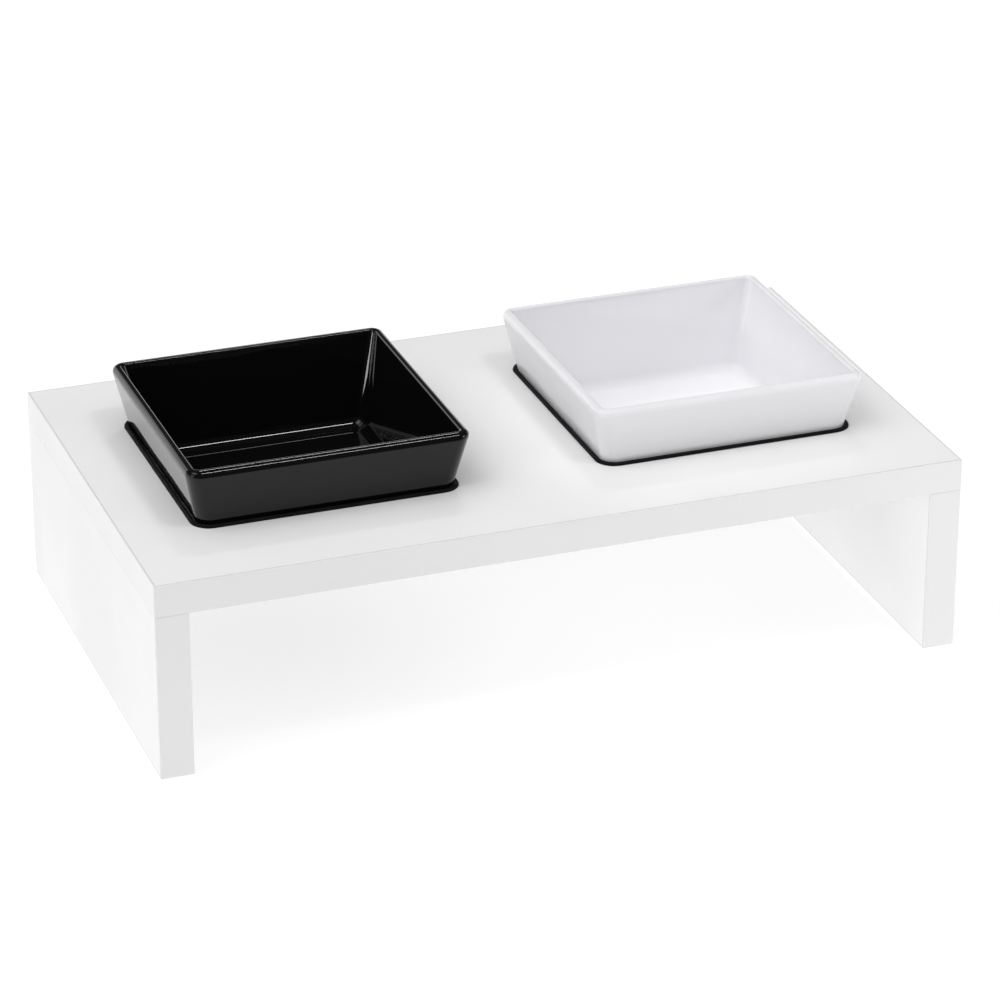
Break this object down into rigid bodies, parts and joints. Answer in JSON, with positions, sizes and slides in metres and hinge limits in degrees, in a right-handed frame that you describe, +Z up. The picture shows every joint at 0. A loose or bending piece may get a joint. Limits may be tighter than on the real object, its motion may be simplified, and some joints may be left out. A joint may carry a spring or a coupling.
{
  "type": "dog feeder stand",
  "caption": "Low white feeder stand with a black and a white square glazed bowl that drop into rubber-sealed cut-outs and lift straight out.",
  "frame": {"origin": "on the floor, under the middle of the stand", "axes": "+X along the length from the black bowl to the white one, +Y from front to back, +Z up"},
  "size_m": [0.4, 0.23, 0.1305],
  "materials": {
    "white_board": "satin white facing",
    "white_band": "satin",
    "dowel_wood": "raw",
    "foot_rubber": "matte",
    "seal_rubber": "matte",
    "black_glaze": "gloss",
    "white_glaze": "gloss"
  },
  "bodies": {
    "stand": {"top_board": "white_board", "left_panel": "white_board", "right_panel": "white_board", "top_front_band": "white_band", "top_back_band": "white_band", "top_left_band": "white_band", "top_right_band": "white_band", "left_front_band": "white_band", "left_back_band": "white_band", "left_bottom_band": "white_band", "right_front_band": "white_band", "right_back_band": "white_band", "right_bottom_band": "white_band", "left_front_dowel": "dowel_wood", "left_middle_dowel": "dowel_wood", "left_back_dowel": "dowel_wood", "right_front_dowel": "dowel_wood", "right_middle_dowel": "dowel_wood", "right_back_dowel": "dowel_wood", "left_front_foot": "foot_rubber", "left_back_foot": "foot_rubber", "right_front_foot": "foot_rubber", "right_back_foot": "foot_rubber", "black_bowl_seal": "seal_rubber", "white_bowl_seal": "seal_rubber"},
    "black_bowl": {"black_bowl": "black_glaze"},
    "white_bowl": {"white_bowl": "white_glaze"}
  },
  "joints": [
    {"name": "black_bowl_lift", "type": "slide", "parent": "stand", "child": "black_bowl", "axis": [0, 0, 1], "range_m": [0, 0.06]},
    {"name": "white_bowl_lift", "type": "slide", "parent": "stand", "child": "white_bowl", "axis": [0, 0, 1], "range_m": [0, 0.06]}
  ]
}
